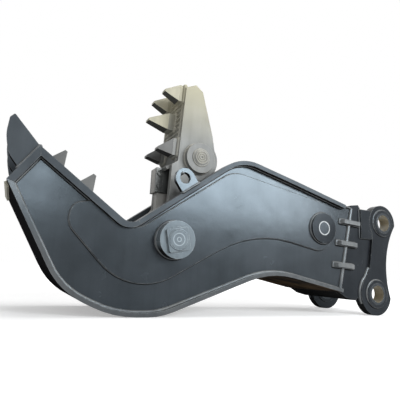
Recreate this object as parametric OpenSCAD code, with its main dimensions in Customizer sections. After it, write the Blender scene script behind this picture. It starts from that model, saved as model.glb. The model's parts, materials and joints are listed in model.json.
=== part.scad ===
// Concrete pulverizer with a fixed lower jaw and one hydraulic upper jaw.
// Origin: centre of the stick pin bores. -X points to the jaw tips, +Y runs
// along the pins, +Z is up. The belly and the lower ears stand on the ground.
// Left is the -Y side. The upper jaw is drawn wide open.

/* [Body outline] */
// Reach from the stick pin to the lower front corner of the fixed jaw
body_reach = 2128; // [1950:1:2300]
// Drop from the stick pin to the lowest line of the belly
belly_drop = 560; // [515:1:610]
// Width over the side plates
body_w = 436; // [420:1:470]
// Overhang of the edge plates past each side plate
flange_overhang = 32; // [12:1:40]
// Side gap between the jaw's widest part and a top flange
slot_gap = 5; // [3:0.5:10]

/* [Body plates] */
// Thickness of a side plate
side_t = 25; // [18:1:28]
// Thickness of a side doubler
doubler_t = 12; // [8:1:20]
// Thickness of the toothed deck of the fixed jaw
deck_t = 30; // [22:1:36]
// Thickness of the front end plate
front_t = 30; // [22:1:36]
// Thickness of the top flanges and the rear cover
flange_t = 22; // [16:1:26]
// Thickness of the belly plate
belly_t = 20; // [14:1:26]
// Thickness of the inner cross plates
cross_t = 20; // [12:1:26]
// Front wear bar: thickness under the corner
wear_t = 10; // [8:1:16]
// Front wear bar: width of its section
wear_h = 24; // [18:1:36]
// Front wear bar: length
wear_l = 400; // [320:1:430]

/* [Machine bracket] */
// Distance between the stick pin and the link pin
pin_distance = 440; // [420:1:460]
// Lean of the pin line, in degrees
pin_lean = 9.3; // [8:0.1:10.5]
// Radius of the pin bores
ear_bore_r = 50; // [45:0.5:55]
// Clear gap between the ear faces
ear_gap = 350; // [330:1:370]
// Thickness of an ear plate
ear_t = 50; // [44:1:60]
// Radius of the upper ear round its bore
upper_lobe_r = 112; // [108:1:118]
// Radius of the lower ear lobe round its bore
lower_lobe_r = 125.8; // [118:0.2:132]
// Wall of an ear bush
ear_bush_t = 12; // [8:0.5:16]
// Wall of a boss ring round an ear bush
ear_ring_t = 20; // [14:0.5:24]
// How far a boss ring stands outside its ear
ring_out = 10; // [5:0.5:14]
// How far a boss ring stands inside its ear
ring_in = 7; // [4:0.5:10]
// Thickness of a bracket cheek
cheek_t = 30; // [24:1:34]
// How far a neck pad stands out from its cheek
pad_t = 14; // [8:1:20]
// Seam gussets: thickness
gusset_t = 24; // [16:1:28]
// Seam gussets: length across the seam
gusset_l = 156; // [130:1:170]
// Seam gussets: height above the plates
gusset_h = 30; // [18:1:36]
// Seam gussets: how many a side
gusset_count = 3; // [2:1:4]
// Seam gussets: pitch
gusset_pitch = 131; // [115:1:138]
// Radius of the hose hole in the rear bulkhead
hose_hole_r = 45; // [30:1:60]

/* [Pins and bosses] */
// Radius of the main pivot pin
main_pin_r = 60; // [52:0.5:66]
// Outer radius of a main pivot boss
main_boss_r = 87; // [82:1:95]
// How far a main pivot boss stands out from its doubler
main_boss_h = 55; // [40:1:65]
// Side of a square keeper plate
keeper_side = 106; // [92:1:110]
// Thickness of a keeper plate
keeper_t = 12; // [8:1:16]
// Turn of a keeper plate, in degrees
keeper_turn = 12; // [0:1:45]
// Radius of the main pin's end, which the keeper holds
pin_end_r = 43; // [36:0.5:45]
// Radius of the cylinder's base pin
base_pin_r = 45; // [40:0.5:50]
// Radius of a base pin cap
base_cap_r = 87; // [78:1:92]
// Thickness of a base pin cap
base_cap_t = 18; // [12:1:30]
// Radius of the base pin's end, which shows in its cap
base_end_r = 40; // [32:0.5:40]
// Outer radius of an inner boss at the base pin
inner_boss_r = 72; // [66:1:78]
// Radius of the rod pin
rod_pin_r = 40; // [36:0.5:43]
// Outer radius of a rod pin boss on the jaw
rod_boss_r = 80; // [74:1:84]
// How far a rod pin boss stands out from its cheek
rod_boss_h = 33; // [24:1:38]
// Radius of a rod pin keeper disc
rod_keeper_r = 42; // [38:1:60]
// Thickness of a rod pin keeper disc
rod_keeper_t = 8; // [5:0.5:10]
// Radial clearance of a turning fit
turn_fit = 0.08; // [0.03:0.01:0.1]

/* [Fangs and fixed teeth] */
// Length of a front fang, square to the front end plate
fang_l = 165; // [150:1:180]
// Thickness of a front fang
fang_t = 40; // [34:1:50]
// Inset of the side fangs from the ends of the front plate
fang_inset = 10; // [0:1:30]
// Base length of the centre tooth on the deck
deck_tooth_l = 124; // [110:1:130]
// Height of the centre tooth on the deck
deck_tooth_h = 126; // [110:1:128]
// Width of the centre tooth on the deck
deck_tooth_w = 70; // [60:1:80]
// Base length of the side teeth on the deck
side_tooth_l = 96; // [84:1:104]
// Height of the side teeth on the deck
side_tooth_h = 97; // [84:1:104]
// Width of the side teeth on the deck
side_tooth_w = 58; // [50:1:60]
// Distance of the side teeth from the middle
side_tooth_y = 86; // [84:1:90]
// Height of the fixed cutter blades above the deck
fixed_blade_h = 32; // [24:1:34]
// Length of the fixed cutter blades
fixed_blade_l = 128; // [110:1:135]

/* [Lifting lug] */
// Radius of the lifting hole
lug_hole_r = 27; // [22:0.5:32]
// Wall of the lug round its hole
lug_wall = 23; // [16:0.5:26]
// Thickness of the lug
lug_t = 25; // [18:1:32]
// Height of the lifting hole above the top flange
lug_h = 54; // [50:1:64]

/* [Movable jaw] */
// Length of the jaw from the main pin to its tip
jaw_l = 850; // [820:1:880]
// Width over the jaw cheeks
jaw_w = 270; // [262:1:276]
// Thickness of a jaw cheek
jaw_cheek_t = 30; // [26:1:31]
// Radius of the cheek round the main pin
jaw_root_r = 118; // [112:1:130]
// Radius of the cheek round the rod pin
jaw_ear_r = 112; // [106:1:116]
// Thickness of the middle web
web_t = 50; // [42:1:60]
// Thickness of the face, back and tip plates
jaw_plate_t = 16; // [12:1:17]
// Outer radius of the pivot hub
hub_r = 100; // [94:1:106]
// Wall of a pivot bush
pivot_bush_t = 12; // [8:0.5:16]
// Length of a pivot bush
pivot_bush_l = 110; // [80:1:140]
// Angle that the jaw closes through, in degrees
close_deg = 50; // [30:1:51]

/* [Jaw teeth and blades] */
// Base height of a paired tooth, along the jaw face
pair_tooth_l = 90; // [78:1:94]
// How far a paired tooth stands out from its base block
pair_tooth_h = 80; // [68:1:84]
// Width of a paired tooth
pair_tooth_w = 60; // [50:1:66]
// Distance of the paired teeth from the middle
pair_tooth_y = 86; // [80:1:96]
// Thickness of a paired tooth's base block
pair_pad_t = 28; // [16:1:30]
// Base height of the centre tooth
mid_tooth_l = 93; // [84:1:100]
// How far the centre tooth stands out from its base block
mid_tooth_h = 108; // [96:1:112]
// Width of the centre tooth
mid_tooth_w = 70; // [60:1:80]
// Thickness of the centre tooth's base block
mid_pad_t = 42; // [30:1:44]
// Width of a cutter blade
blade_w = 37; // [32:1:38]
// Height of a cutter blade
blade_h = 130; // [120:1:140]
// Thickness of a cutter blade
blade_t = 18; // [14:1:20]
// Radius of a blade bolt
blade_bolt_r = 7; // [5:0.5:9]
// How many bolts hold the blades
blade_bolt_count = 2; // [2:1:3]
// Side gap between a moving blade and a fixed blade
shear_gap = 2; // [1:0.5:4]

/* [Cylinder] */
// Bore radius of the cylinder
bore_r = 80; // [74:1:84]
// Wall of the cylinder tube
tube_t = 20; // [14:1:20]
// Radius of the piston rod
rod_r = 50; // [44:1:56]
// Outer radius of the base eye
base_eye_r = 74; // [70:1:78]
// Width of the base eye
base_eye_w = 140; // [120:1:150]
// Wall of the base eye bush
base_bush_t = 12; // [8:0.5:14]
// Thickness of the tube's end disc
end_disc_t = 22; // [18:1:26]
// Length of the piston
piston_l = 50; // [40:1:60]
// Length of the gland inside the tube
gland_l = 46; // [36:1:56]
// Thickness of the gland's flange
gland_flange_t = 14; // [10:1:20]
// Spare travel left at the end of the stroke
stroke_spare = 16; // [12:1:24]
// Outer radius of the rod eye
rod_eye_r = 80; // [78:1:84]
// Width of the rod eye
rod_eye_w = 130; // [110:1:150]
// Radial play of the rod eye on its pin
rod_eye_play = 22; // [21.5:0.5:23]
// Radius of a port boss
port_r = 20; // [14:1:24]
// Height of a port boss
port_h = 22; // [14:1:26]
// Radius of a port's bore
port_bore_r = 9; // [6:0.5:10]

/* [Hidden] */
$fn = 48;

// Paint and steel colours
paint = [0.30, 0.34, 0.38];
jaw_paint = [0.58, 0.57, 0.53];
tooth_steel = [0.76, 0.73, 0.62];
blade_steel = [0.36, 0.37, 0.38];
pin_steel = [0.50, 0.52, 0.54];
bush_steel = [0.62, 0.55, 0.42];
chrome = [0.82, 0.84, 0.86];

// Small values shared by the whole model
overrun = 1;
press_gap = 0.05;
seat_gap = 0.05;
face_gap = 0.5;
arc_step_deg = 7;
tiny = 0.000001;

// Widths derived from the plates, measured from the middle
side_y = body_w / 2;
side_in_y = side_y - side_t;
flange_y = side_y + flange_overhang;
doubler_y = side_y + doubler_t;
cheek_in_y = side_y - cheek_t;
ear_in_y = ear_gap / 2 + ring_in;
ear_y = ear_in_y + ear_t;
jaw_y = jaw_w / 2;
jaw_in_y = jaw_y - jaw_cheek_t;
hub_y = side_in_y - face_gap;
rod_boss_y = jaw_y + rod_boss_h;
rod_keeper_y = rod_boss_y + rod_keeper_t;
slot_y = rod_keeper_y + slot_gap;
main_boss_y = doubler_y + main_boss_h;
base_cap_y = doubler_y + base_cap_t;

// Body corners, clockwise from the lower front corner: x as a share of the reach,
// z and corner radius as shares of the belly drop. The three corners where the
// machine bracket joins are shares of the pin distance.
front_shares = [
    [1, -0.055, 0],
    [0.95, 0.221, 0],
    [0.76, -0.296, 0.11],
    [0.496, 0.443, 0.425],
    [0.324, 0.295, 0]
];
rear_shares = [[-0.7385, 0.175], [-0.575, 0.1527], [-0.8159, -0.9775]];
belly_shares = [
    [0.4, -0.6, 0.93],
    [0.681, -1, 0.625],
    [0.78, -1, 0.85],
    [0.888, -0.8125, 0.6]
];
corner_names = [
    "front low", "front top", "throat", "hump", "cover", "rear top", "seam top",
    "seam low", "crest", "sole", "chin", "knee"
];
function corner_at(name) = [for (i = [0 : len(corner_names) - 1]) if (corner_names[i] == name) i][0];
FRONT_LOW = corner_at("front low");
FRONT_TOP = corner_at("front top");
THROAT = corner_at("throat");
HUMP = corner_at("hump");
COVER = corner_at("cover");
REAR_TOP = corner_at("rear top");
SEAM_TOP = corner_at("seam top");
SEAM_LOW = corner_at("seam low");
CREST = corner_at("crest");
KNEE = corner_at("knee");

// Doubler corners, counter-clockwise: the rear ones as shares of the pin distance,
// the others like the body's
doubler_rear_shares = [[-0.909, -0.5116, 0.2], [-0.967, 0.1425, 0.16]];
doubler_shares = [
    [0.512, 0.296, 0.27],
    [0.761, -0.384, 0.31],
    [0.841, -0.134, 0.07],
    [0.878, -0.168, 0.09],
    [0.883, -0.325, 0.14],
    [0.744, -0.87, 0.63],
    [0.447, -0.229, 1.2]
];

// Places of the pivots: the main pivot in the body's shares, the cylinder's base
// pivot as shares of the pin distance, and the rod pivot as shares of the span
// between those two, from the main pivot
main_pivot_share = [0.6593, -0.384];
base_pivot_share = [-1.1205, -0.1727];
rod_pivot_share = [0.1635, 0.4793];

// Jaw corners round the pivots, as shares of the closing arm from the main pivot
cheek_root_shares = [[0.5491, 0.946], [0.5251, 0.7931], [0.23, -0.078], [-0.22, 0.1]];
shoulder_shares = [[-0.0043, 0.4], [0.0107, 0.843]];
web_shares = [
    [0.1641, 0.1094], [-0.056, 0.1094], [-0.056, 0.5524], [-0.0948, 0.5524],
    [-0.0948, 0.8314], [0.0643, 0.8314]
];
face_drop_share = 0.0567;
back_low_share = [0.4886, 1.2527];
shelf_share = [-0.0365, 0.8186];
// Jaw corners at the tip, as shares of the jaw's length from the main pivot
face_high_share = [0.0706, 0.9706];
tip_share = [0.1365, 1.0024];
back_high_share = [0.1859, 0.9659];

// Places of the teeth along the face of the jaw, as shares of its length
throat_teeth_share = 0.186;
mid_tooth_share = 0.583;
tip_teeth_share = 0.92;
// Where a tooth's tip lies over its base, as shares of the base
throat_tip_at_share = 0.24;
mid_tip_at_share = 0.36;
upper_tip_at_share = 0.44;
deck_tip_at_share = 0.37;
// Width and length of a tooth's blunt tip, as shares of its base
tip_w_share = 0.74;
tip_l_share = 0.13;
// Places of the fixed teeth and blades along the deck, as shares of its length
side_teeth_share = 0.173;
center_tooth_share = 0.513;
fixed_blade_share = 0.775;
// Blade block: place of its lower front corner, as shares of the closing arm
blade_low_share = [-0.0948, 0.5524];

// Fang outline: along and out from the front plate, as shares of the fang's length
fang_shares = [
    [0, 0, 0], [-0.22, 0.95, 0.03], [-0.07, 0.97, 0.08], [0.3, 0.76, 0.9],
    [0.64, 0.385, 0.5], [0.75, 0, 0]
];

// Ear edge that the bracket meets: x and z as shares of the pin distance
ear_edge_shares = [
    [-0.209, 0.155], [-0.209, -0.284], [-0.273, -0.636], [-0.404, -0.875], [-0.43, -1.01]
];
// Bracket corners: x and z as shares of the pin distance
cheek_top_shares = [[-0.56, 0.2], [-0.435, 0.22], [-0.385, 0.155]];
cheek_low_shares = [[-0.527, -1.08], [-0.69, -1.045]];
pad_shares = [-0.42, -0.245];
// Waist of an ear: place of its centre and its radius, as shares of the pin distance
waist_share = [1.15, -0.66];
waist_r_share = 1.1;
// Face of the rear bulkhead behind the pin line, as a share of the pin distance
bulkhead_share = 0.385;
// Place of the hose hole down the bulkhead, as a share of the pin distance
hose_share = 0.3;
// Place of the first gusset down the seam, and the gussets' slope
gusset_share = 0.21;
gusset_slope = 3;
// Place of the lifting lug along the rear slope, and of the throat's inner plate
lug_share = 0.5;
diaphragm_share = 0.009;
// Port places along the tube
port_shares = [0.09, 0.88];

function unit(v) = v / norm(v);
function turned(v, a) = [v.x * cos(a) - v.y * sin(a), v.x * sin(a) + v.y * cos(a)];
function wrapped(a) = a > 180 ? a - 360 : a < -180 ? a + 360 : a;
function cross2(a, b) = a.x * b.y - a.y * b.x;
function reversed(list) = [for (i = [len(list) - 1 : -1 : 0]) list[i]];
function at_body(share) = [-share.x * body_reach, share.y * belly_drop];
function at_ear(share) = [share.x, share.y] * pin_distance;

// Angle that a path turns through at b
function turn_at(a, b, c) = abs(wrapped(atan2(c.y - b.y, c.x - b.x) - atan2(b.y - a.y, b.x - a.x)));
// A fillet takes at most half of its shorter edge
function room_r(a, b, c, r) =
    let (turn = turn_at(a, b, c))
    turn < tiny ? 0 : min(r, min(norm(b - a), norm(c - b)) / 2 / tan(turn / 2));
// Points of the arc that rounds corner b
function corner_arc(a, b, c, r) =
    r <= 0 ? [b] :
    let (
        turn = turn_at(a, b, c),
        u = unit(a - b),
        v = unit(c - b),
        start = b + u * r * tan(turn / 2),
        middle = b + unit(u + v) * r / cos(turn / 2),
        first = atan2(start.y - middle.y, start.x - middle.x),
        sweep = cross2(b - a, c - b) > 0 ? turn : -turn,
        steps = ceil(turn / arc_step_deg)
    )
    [for (i = [0 : steps]) middle + r * [cos(first + sweep * i / steps), sin(first + sweep * i / steps)]];
// A closed outline with every corner rounded
function rounded(points, radii) =
    let (n = len(points))
    [for (i = [0 : n - 1])
        let (a = points[(i + n - 1) % n], b = points[i], c = points[(i + 1) % n])
        each corner_arc(a, b, c, room_r(a, b, c, radii[i]))];

// The body's outer ring, and the ring inside its edge plates
ring = concat(
    [for (row = front_shares) at_body(row)],
    [for (row = rear_shares) at_ear(row)],
    [for (row = belly_shares) at_body(row)]
);
ring_n = len(ring);
ring_radius_shares = concat(
    [for (row = front_shares) row[2]], [for (row = rear_shares) 0], [for (row = belly_shares) row[2]]
);
edge_t = [front_t, deck_t, flange_t, flange_t, flange_t, 0, 0, belly_t, belly_t, belly_t, belly_t, belly_t];
function before(i) = (i + ring_n - 1) % ring_n;
function after(i) = (i + 1) % ring_n;
function inward(i) = let (d = unit(ring[after(i)] - ring[i])) [d.y, -d.x];
function moved_corner(b, n1, t1, n2, t2) =
    let (c = n1 * n2)
    1 - c * c < tiny ? b + n1 * t1 : b + ((t1 - c * t2) * n1 + (t2 - c * t1) * n2) / (1 - c * c);
inner = [for (i = [0 : ring_n - 1])
    moved_corner(ring[i], inward(before(i)), edge_t[before(i)], inward(i), edge_t[i])];
function ring_r(i) = room_r(ring[before(i)], ring[i], ring[after(i)], ring_radius_shares[i] * belly_drop);
function outer_arc(i) = corner_arc(ring[before(i)], ring[i], ring[after(i)], ring_r(i));
function is_hollow(i) = cross2(ring[i] - ring[before(i)], ring[after(i)] - ring[i]) > 0;
function inner_r(i) = ring_r(i) + (is_hollow(i) ? 1 : -1) * (edge_t[before(i)] + edge_t[i]) / 2;
function inner_arc(i) = corner_arc(inner[before(i)], inner[i], inner[after(i)], inner_r(i));
function last(list) = list[len(list) - 1];
rear_top_under = ring[REAR_TOP] + inward(COVER) * flange_t;

// Axes along and square to the deck, the front plate and the rear slope
deck_dir = unit(ring[THROAT] - ring[FRONT_TOP]);
deck_out = [-deck_dir.y, deck_dir.x];
deck_len = norm(ring[THROAT] - ring[FRONT_TOP]);
front_dir = unit(ring[FRONT_LOW] - ring[FRONT_TOP]);
front_out = [front_dir.y, -front_dir.x];
slope_dir = unit(ring[HUMP] - ring[THROAT]);
slope_out = [-slope_dir.y, slope_dir.x];
seam_dir = unit(ring[SEAM_LOW] - ring[SEAM_TOP]);

// Pivots
stick_pin = [0, 0];
link_pin = pin_distance * [-sin(pin_lean), -cos(pin_lean)];
pin_line = unit(link_pin);
main_pivot = at_body(main_pivot_share);
base_pivot = at_ear(base_pivot_share);
pivot_span = norm(main_pivot - base_pivot);
rod_pivot = main_pivot + rod_pivot_share * pivot_span;
closing_arm = norm(rod_pivot - main_pivot);
function at_root(share) = main_pivot + share * closing_arm;
function at_tip(share) = main_pivot + share * jaw_l;
rod_pivot_closed = main_pivot + turned(rod_pivot - main_pivot, close_deg);

// The face of the jaw that carries the teeth, which starts in front of the rod pin
ear_rim = 2.8;
face_low = rod_pivot - [jaw_ear_r + ear_rim, face_drop_share * closing_arm];
face_high = at_tip(face_high_share);
face_len = norm(face_high - face_low);
face_dir = unit(face_high - face_low);
face_out = [-face_dir.y, face_dir.x];
jaw_tip = at_tip(tip_share);
back_high = at_tip(back_high_share);
back_low = at_root(back_low_share);
back_dir = unit(back_high - back_low);
back_in = [-back_dir.y, back_dir.x];
// The shelf below the face, and the corner under both plates
shelf_low = at_root(shelf_share);
shelf_dir = unit(face_low - shelf_low);
shelf_in = [shelf_dir.y, -shelf_dir.x];
corner_under = moved_corner(face_low, shelf_in, jaw_plate_t, -face_out, jaw_plate_t);

// Cylinder: places along its axis, from the base pin
cyl_len = norm(rod_pivot - base_pivot);
cyl_angle = atan2(rod_pivot.y - base_pivot.y, rod_pivot.x - base_pivot.x);
stroke = norm(rod_pivot_closed - base_pivot) - cyl_len;
eye_gap = 4;
piston_gap = 3;
disc_x = base_eye_r + eye_gap;
chamber_x = disc_x + end_disc_t;
piston_x = chamber_x + piston_gap;
gland_x = piston_x + piston_l + stroke + stroke_spare;
tube_end_x = gland_x + gland_l;
gland_end_x = tube_end_x + gland_flange_t;
rod_eye_neck = 5;
rod_end_x = cyl_len - rod_eye_r - rod_eye_neck;
tube_r = bore_r + tube_t;
rod_eye_bore_r = rod_pin_r + rod_eye_play;
rod_spigot_share = 0.7;
rod_spigot_r = rod_r * rod_spigot_share;

// Small features, each a share of what carries it
pin_end_proud = 3;
bolt_head_share = 1.9;
bolt_head_h_share = 1.1;
bolt_gap = 0.5;
keeper_corner = 8;

// Extrudes an outline drawn in X and Z from y0 to y1
module slab(y0, y1) {
    translate([0, y1, 0]) rotate([90, 0, 0]) linear_extrude(y1 - y0) children();
}

// Round bar along Y
module bar(p, r, y0, y1) {
    translate([p.x, y0, p.y]) rotate([-90, 0, 0]) cylinder(r = r, h = y1 - y0);
}

// Round ring along Y
module ring_bar(p, r, hole_r, y0, y1) {
    difference() {
        bar(p, r, y0, y1);
        bar(p, hole_r, y0 - overrun, y1 + overrun);
    }
}

// The same piece on both sides
module both_sides() {
    children();
    mirror([0, 1, 0]) children();
}

// A piece drawn on the right side, put on the left
module on_left() {
    mirror([0, 1, 0]) children();
}

// Local X runs along the cylinder from the base pin
module along_cylinder() {
    translate([base_pivot.x, 0, base_pivot.y]) rotate([0, -cyl_angle, 0]) children();
}

// Round bar along the cylinder's axis
module axial(r, x0, x1) {
    translate([x0, 0, 0]) rotate([0, 90, 0]) cylinder(r = r, h = x1 - x0);
}

// Outline of a side plate, inside the edge plates
module side_outline() {
    polygon(concat(
        [inner[FRONT_LOW], inner[FRONT_TOP]],
        inner_arc(THROAT),
        inner_arc(HUMP),
        [inner[COVER], rear_top_under, ring[REAR_TOP], ring[SEAM_TOP], inner[SEAM_LOW]],
        [for (i = [CREST : KNEE]) each inner_arc(i)]
    ));
}

module side_plate() {
    color(paint) difference() {
        slab(side_in_y, side_y) side_outline();
        bar(main_pivot, main_pin_r + press_gap, side_in_y - overrun, side_y + overrun);
        bar(base_pivot, base_pin_r + press_gap, side_in_y - overrun, side_y + overrun);
    }
}

module left_side_plate() on_left() side_plate();
module right_side_plate() side_plate();

// Plate on a side plate, which ends under the deck
module doubler() {
    rows = concat(doubler_rear_shares, doubler_shares);
    points = concat(
        [for (row = doubler_rear_shares) at_ear(row)], [for (row = doubler_shares) at_body(row)]
    );
    color(paint) difference() {
        slab(side_y, doubler_y) intersection() {
            side_outline();
            polygon(rounded(points, [for (row = rows) row[2] * belly_drop]));
        }
        bar(main_pivot, main_pin_r + press_gap, side_y - overrun, doubler_y + overrun);
        bar(base_pivot, base_pin_r + press_gap, side_y - overrun, doubler_y + overrun);
    }
}

module left_doubler() on_left() doubler();
module right_doubler() doubler();

module belly_plate() {
    color(paint) slab(-flange_y, flange_y) polygon(concat(
        [ring[SEAM_LOW]],
        [for (i = [CREST : KNEE]) each outer_arc(i)],
        [ring[FRONT_LOW], inner[FRONT_LOW]],
        reversed([for (i = [CREST : KNEE]) each inner_arc(i)]),
        [inner[SEAM_LOW]]
    ));
}

module jaw_deck() {
    color(paint) slab(-flange_y, flange_y) polygon(concat(
        [ring[FRONT_TOP]], outer_arc(THROAT), reversed(inner_arc(THROAT)), [inner[FRONT_TOP]]
    ));
}

module front_end_plate() {
    color(paint) slab(-flange_y, flange_y)
        polygon([ring[FRONT_LOW], ring[FRONT_TOP], inner[FRONT_TOP], inner[FRONT_LOW]]);
}

// Strip along the top edge of one side, from the throat to the rear cover
module top_flange() {
    color(paint) slab(slot_y, flange_y) polygon(concat(
        [last(outer_arc(THROAT))], outer_arc(HUMP), [ring[COVER], inner[COVER]],
        reversed(inner_arc(HUMP)), [last(inner_arc(THROAT))]
    ));
}

module left_top_flange() on_left() top_flange();
module right_top_flange() top_flange();

module rear_top_cover() {
    color(paint) slab(-flange_y, flange_y)
        polygon([ring[COVER], ring[REAR_TOP], rear_top_under, inner[COVER]]);
}

// Cross plate under the throat, which closes the fixed jaw's box
module throat_diaphragm() {
    top = ring[THROAT] - [diaphragm_share * body_reach, 0];
    color(paint) slab(-side_in_y, side_in_y) intersection() {
        side_outline();
        translate(top - [cross_t, belly_drop]) square([cross_t, belly_drop + deck_t]);
    }
}

// Outline of an ear: two lobes, a straight edge to the bracket and a drawn-in waist
module ear_outline() {
    edge = [for (share = ear_edge_shares) at_ear(share)];
    chord = [link_pin.x + lower_lobe_r, link_pin.y];
    difference() {
        union() {
            translate(stick_pin) circle(r = upper_lobe_r);
            translate(link_pin) circle(r = lower_lobe_r);
            polygon(concat(edge, [link_pin, chord, [upper_lobe_r, 0], stick_pin]));
        }
        translate(at_ear(waist_share)) circle(r = waist_r_share * pin_distance);
    }
}

module ear() {
    hole_r = ear_bore_r + ear_bush_t;
    color(paint) difference() {
        slab(ear_in_y, ear_y) ear_outline();
        for (p = [stick_pin, link_pin])
            bar(p, hole_r + ear_ring_t, ear_in_y - overrun, ear_y + overrun);
    }
}

module left_ear() on_left() ear();
module right_ear() ear();

// Each boss ring passes through its ear and stands out on both faces
module ear_boss_rings() {
    hole_r = ear_bore_r + ear_bush_t;
    color(paint) both_sides()
        for (p = [stick_pin, link_pin])
            ring_bar(p, hole_r + ear_ring_t, hole_r, ear_in_y - ring_in, ear_y + ring_out);
}

module ear_bushes() {
    color(bush_steel) both_sides()
        for (p = [stick_pin, link_pin])
            ring_bar(p, ear_bore_r + ear_bush_t, ear_bore_r, ear_in_y - ring_in, ear_y + ring_out);
}

// Outline of a bracket cheek, from the seam to the ear
module cheek_outline() {
    difference() {
        polygon(concat(
            [ring[SEAM_TOP]],
            [for (share = cheek_top_shares) at_ear(share)],
            [for (share = ear_edge_shares) at_ear(share)],
            [for (share = cheek_low_shares) at_ear(share)],
            [ring[SEAM_LOW]]
        ));
        ear_outline();
    }
}

module bracket_cheeks() {
    color(paint) both_sides() slab(cheek_in_y, side_y) cheek_outline();
}

// Thick pad on each cheek, in front of the upper ear lobe
module neck_pads() {
    low = at_ear(pad_shares);
    high = at_ear(ear_edge_shares[0]);
    color(paint) both_sides() slab(side_y, side_y + pad_t) difference() {
        translate(low) square(high - low);
        ear_outline();
    }
}

module rear_bulkhead() {
    front = bulkhead_share * pin_distance;
    reach = pin_distance + lower_lobe_r;
    top = at_ear(cheek_top_shares[1]);
    hole = hose_share * pin_distance * pin_line;
    color(paint) difference() {
        slab(-cheek_in_y, cheek_in_y) intersection() {
            cheek_outline_solid();
            rotate(-pin_lean) translate([-front - cross_t, -reach]) square([cross_t, reach + top.y]);
        }
        translate([hole.x, 0, hole.y]) rotate([0, pin_lean - 90, 0])
            cylinder(r = hose_hole_r, h = front + 2 * cross_t);
    }
}

// The cheek's outline, less the two closing plates of the bracket
module cheek_outline_solid() {
    difference() {
        cheek_outline();
        bracket_top_outline();
        bracket_bottom_outline();
    }
}

module bracket_top_outline() {
    end = at_ear(cheek_top_shares[1]);
    mid = at_ear(cheek_top_shares[0]);
    down = [0, cross_t];
    polygon([
        ring[REAR_TOP], ring[SEAM_TOP], mid, end,
        end - down, mid - down, ring[SEAM_TOP] - down, rear_top_under
    ]);
}

module bracket_bottom_outline() {
    near = at_ear(cheek_low_shares[0]);
    far = at_ear(cheek_low_shares[1]);
    up = [0, cross_t];
    polygon([ring[SEAM_LOW], far, near, near + up, far + up, inner[SEAM_LOW]]);
}

module bracket_top_plate() {
    color(paint) slab(-cheek_in_y, cheek_in_y) bracket_top_outline();
}

module bracket_bottom_plate() {
    color(paint) slab(-cheek_in_y, cheek_in_y) bracket_bottom_outline();
}

// One gusset: a bar with sloped ends, lying across the seam
module gusset() {
    half = gusset_l / 2;
    slope = gusset_h / 2;
    translate([0, side_y, -gusset_t / 2]) linear_extrude(gusset_t)
        polygon([[-half, 0], [half, 0], [half - slope, gusset_h], [slope - half, gusset_h]]);
}

module seam_gussets() {
    color(paint) both_sides()
        for (i = [0 : gusset_count - 1]) {
            p = ring[SEAM_TOP] + seam_dir * (gusset_share * pin_distance + i * gusset_pitch);
            translate([p.x, 0, p.y]) rotate([0, gusset_slope, 0]) gusset();
        }
}

// Fang outline on the front end plate
module fang_outline() {
    points = [for (row = fang_shares)
        ring[FRONT_TOP] + fang_l * (row[0] * front_dir + row[1] * front_out)];
    polygon(rounded(points, [for (row = fang_shares) row[2] * fang_l]));
}

module side_fang() {
    end = flange_y - fang_inset;
    color(paint) slab(end - fang_t, end) fang_outline();
}

module left_fang() on_left() side_fang();
module right_fang() side_fang();
module middle_fang() color(paint) slab(-fang_t / 2, fang_t / 2) fang_outline();

// A blunt four-sided tooth: its base lies along dir from p, and it stands along out
module tooth(p, dir, out, length, height, width, tip_at) {
    angle = atan2(dir.y, dir.x);
    tip_l = tip_l_share * length;
    tip_w = tip_w_share * width;
    side = cross2(dir, out) > 0 ? 1 : -1;
    foot = p + out * seat_gap;
    translate([foot.x, 0, foot.y]) rotate([0, -angle, 0]) hull() {
        translate([0, -width / 2, min(0, side * overrun)]) cube([length, width, overrun]);
        translate([tip_at * length - tip_l / 2, -tip_w / 2, side * height - max(0, side * overrun)])
            cube([tip_l, tip_w, overrun]);
    }
}

module deck_tooth(share, length, height, width) {
    start = ring[FRONT_TOP] + deck_dir * (share * deck_len - length / 2);
    tooth(start, deck_dir, deck_out, length, height, width, deck_tip_at_share);
}

module deck_side_teeth() {
    color(tooth_steel) both_sides() translate([0, side_tooth_y, 0])
        deck_tooth(side_teeth_share, side_tooth_l, side_tooth_h, side_tooth_w);
}

module deck_center_tooth() {
    color(tooth_steel) deck_tooth(center_tooth_share, deck_tooth_l, deck_tooth_h, deck_tooth_w);
}

// Blade bars on the deck, one on each side of the moving blades
module fixed_blades() {
    inside = web_t / 2 + blade_t + shear_gap;
    mid = ring[FRONT_TOP] + deck_dir * fixed_blade_share * deck_len;
    half = fixed_blade_l / 2;
    color(blade_steel) both_sides() slab(inside, inside + blade_t) polygon([
        mid - deck_dir * half, mid + deck_dir * half,
        mid + deck_dir * half + deck_out * fixed_blade_h / 2,
        mid + deck_dir * (half - fixed_blade_h / 2) + deck_out * fixed_blade_h,
        mid - deck_dir * half + deck_out * fixed_blade_h
    ]);
}

// Bar across the lower front corner
module front_wear_bar() {
    belly_dir = unit(ring[KNEE] - ring[FRONT_LOW]);
    belly_out = [belly_dir.y, -belly_dir.x];
    low = ring[FRONT_LOW] + belly_out * seat_gap;
    end = low + belly_dir * wear_h;
    color(tooth_steel) slab(-wear_l / 2, wear_l / 2)
        polygon([low, low + belly_out * wear_t, end + belly_out * wear_t, end]);
}

// Lug on the left top flange
module lifting_lug() {
    slope_len = norm(ring[HUMP] - ring[THROAT]);
    foot = ring[THROAT] + slope_dir * lug_share * slope_len;
    hole = foot + slope_out * lug_h;
    r = lug_hole_r + lug_wall;
    color(paint) on_left() difference() {
        slab(flange_y - lug_t, flange_y) union() {
            translate(hole) circle(r = r);
            polygon([foot - slope_dir * r, foot + slope_dir * r, hole + slope_dir * r, hole - slope_dir * r]);
        }
        bar(hole, lug_hole_r, flange_y - lug_t - overrun, flange_y + overrun);
    }
}

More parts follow.
